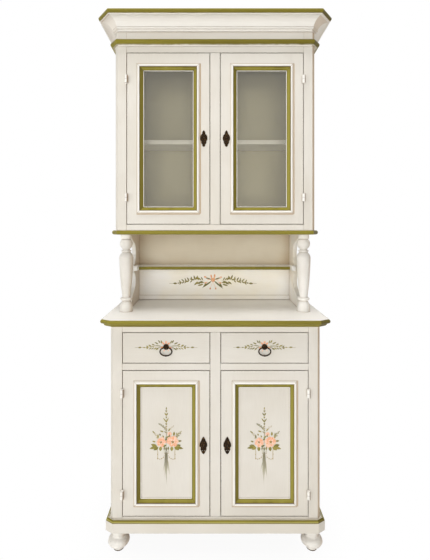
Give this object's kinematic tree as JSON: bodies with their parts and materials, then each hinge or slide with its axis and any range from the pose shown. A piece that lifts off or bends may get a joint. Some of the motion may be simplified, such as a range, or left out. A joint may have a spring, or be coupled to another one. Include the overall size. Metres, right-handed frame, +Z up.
{
  "type": "display cabinet",
  "caption": "Painted country display hutch: panelled cupboard with drawers on bun feet, open niche between turned columns, glazed cupboard above under a moulded cornice.",
  "frame": {"origin": "middle of the footprint on the floor", "axes": "+Z up, the front faces -Y, +X to the right as seen from the front"},
  "size_m": [0.919, 0.425, 2.0465],
  "materials": {
    "cream_paint": "satin cream paint on wood",
    "green_paint": "satin olive green paint on wood",
    "inner_paint": "matt grey-olive paint on wood",
    "bare_wood": "bare softwood",
    "dark_bronze": "dark antique bronze",
    "door_glass": "clear window glass",
    "painted_hinge": "cream painted steel",
    "brass_pin": "brushed brass"
  },
  "bodies": {
    "carcass": {"bun_feet": "cream_paint", "plinth_frame": "cream_paint", "plinth_moulding": "green_paint", "lower_bottom_board": "bare_wood", "lower_side_panels": "cream_paint", "lower_front_posts": "cream_paint", "lower_face_rails": "cream_paint", "lower_centre_stile": "cream_paint", "lower_back_panel": "inner_paint", "lower_shelf": "bare_wood", "shelf_pins": "brass_pin", "drawer_deck": "bare_wood", "drawer_guides": "bare_wood", "counter_bed_moulding": "green_paint", "counter_top": "cream_paint", "turned_columns": "cream_paint", "niche_sides": "cream_paint", "niche_back_panel": "cream_paint", "niche_shelf": "cream_paint", "upper_base_board": "green_paint", "upper_side_panels": "cream_paint", "upper_front_posts": "cream_paint", "upper_face_rails": "cream_paint", "upper_centre_stile": "cream_paint", "upper_top_board": "inner_paint", "upper_back_panel": "inner_paint", "upper_shelf": "inner_paint", "frieze_board": "cream_paint", "necking_moulding": "green_paint", "crown_moulding": "cream_paint", "cornice_dust_board": "bare_wood", "hinge_frame_halves": "painted_hinge"},
    "lower_left_door": {"lower_left_door_frame": "cream_paint", "lower_left_door_panel": "cream_paint", "lower_left_door_moulding": "cream_paint", "lower_left_door_lock": "dark_bronze", "lower_left_door_hinges": "painted_hinge"},
    "lower_right_door": {"lower_right_door_frame": "cream_paint", "lower_right_door_panel": "cream_paint", "lower_right_door_moulding": "cream_paint", "lower_right_door_lock": "dark_bronze", "lower_right_door_hinges": "painted_hinge"},
    "upper_left_door": {"upper_left_door_frame": "cream_paint", "upper_left_door_glass": "door_glass", "upper_left_door_moulding": "cream_paint", "upper_left_door_lock": "dark_bronze", "upper_left_door_hinges": "painted_hinge"},
    "upper_right_door": {"upper_right_door_frame": "cream_paint", "upper_right_door_glass": "door_glass", "upper_right_door_moulding": "cream_paint", "upper_right_door_lock": "dark_bronze", "upper_right_door_hinges": "painted_hinge"},
    "left_drawer": {"left_drawer_front": "cream_paint", "left_drawer_box": "bare_wood", "left_drawer_pull_plate": "dark_bronze"},
    "left_ring": {"left_drawer_ring": "dark_bronze"},
    "right_drawer": {"right_drawer_front": "cream_paint", "right_drawer_box": "bare_wood", "right_drawer_pull_plate": "dark_bronze"},
    "right_ring": {"right_drawer_ring": "dark_bronze"}
  },
  "joints": [
    {"name": "lower_left_door_hinge", "type": "hinge", "parent": "carcass", "child": "lower_left_door", "pos_m": [-0.3484, -0.1845, 0.4062], "axis": [0, 0, -1], "range_deg": [0, 165]},
    {"name": "lower_right_door_hinge", "type": "hinge", "parent": "carcass", "child": "lower_right_door", "pos_m": [0.3484, -0.1845, 0.4062], "axis": [0, 0, 1], "range_deg": [0, 165]},
    {"name": "upper_left_door_hinge", "type": "hinge", "parent": "carcass", "child": "upper_left_door", "pos_m": [-0.3484, -0.1095, 1.5655], "axis": [0, 0, -1], "range_deg": [0, 165]},
    {"name": "upper_right_door_hinge", "type": "hinge", "parent": "carcass", "child": "upper_right_door", "pos_m": [0.3484, -0.1095, 1.5655], "axis": [0, 0, 1], "range_deg": [0, 165]},
    {"name": "left_drawer_slide", "type": "slide", "parent": "carcass", "child": "left_drawer", "axis": [0, -1, 0], "range_m": [0, 0.25]},
    {"name": "left_ring_swing", "type": "hinge", "parent": "left_drawer", "child": "left_ring", "pos_m": [-0.184, -0.185, 0.7681], "axis": [-1, 0, 0], "range_deg": [0, 90]},
    {"name": "right_drawer_slide", "type": "slide", "parent": "carcass", "child": "right_drawer", "axis": [0, -1, 0], "range_m": [0, 0.25]},
    {"name": "right_ring_swing", "type": "hinge", "parent": "right_drawer", "child": "right_ring", "pos_m": [0.184, -0.185, 0.7681], "axis": [-1, 0, 0], "range_deg": [0, 90]}
  ]
}
